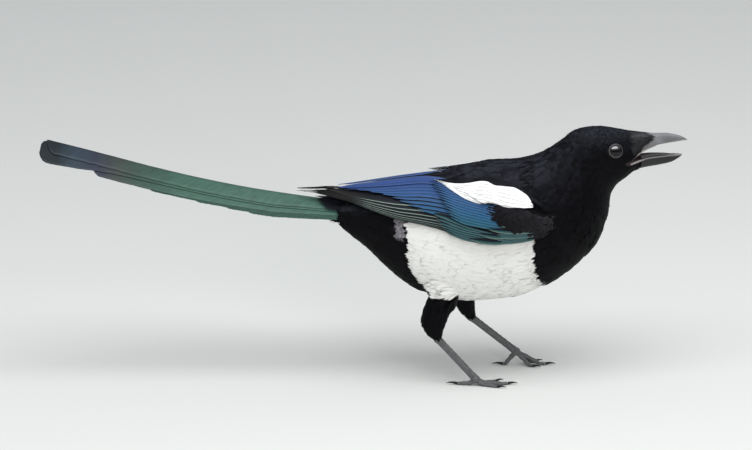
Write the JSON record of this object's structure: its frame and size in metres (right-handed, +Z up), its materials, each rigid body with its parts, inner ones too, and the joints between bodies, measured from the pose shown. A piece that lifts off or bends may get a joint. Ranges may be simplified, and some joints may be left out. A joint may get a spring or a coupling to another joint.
{
  "type": "eurasian magpie model",
  "caption": "Life-size black and white magpie with blue wings and a long green tail, striding forward with its bill open.",
  "frame": {"origin": "on the floor, below the middle of the bird's length and width", "axes": "+X forward along the bird, from tail to bill; +Y to the bird's left; +Z up"},
  "size_m": [0.4638, 0.085, 0.189],
  "materials": {
    "body_feathers": "satin",
    "white_feathers": "matte",
    "wing_feathers": "satin",
    "tail_feathers": "satin",
    "bill": "satin",
    "mouth": "satin",
    "eye": "gloss",
    "leg": "matte",
    "claw": "satin"
  },
  "bodies": {
    "root": {"bill_lower": "bill", "bill_upper": "bill", "claw_hind_left": "claw", "claw_hind_right": "claw", "claw_inner_left": "claw", "claw_inner_right": "claw", "claw_middle_left": "claw", "claw_middle_right": "claw", "claw_outer_left": "claw", "claw_outer_right": "claw", "eye_left": "eye", "eye_right": "eye", "foot_left": "leg", "foot_right": "leg", "head": "body_feathers", "neck": "body_feathers", "scapulars_left": "white_feathers", "scapulars_right": "white_feathers", "tail": "tail_feathers", "tarsus_left": "leg", "tarsus_right": "leg", "thigh_left": "body_feathers", "thigh_right": "body_feathers", "tongue": "mouth", "torso": "body_feathers", "wing_left": "wing_feathers", "wing_right": "wing_feathers"}
  },
  "joints": []
}
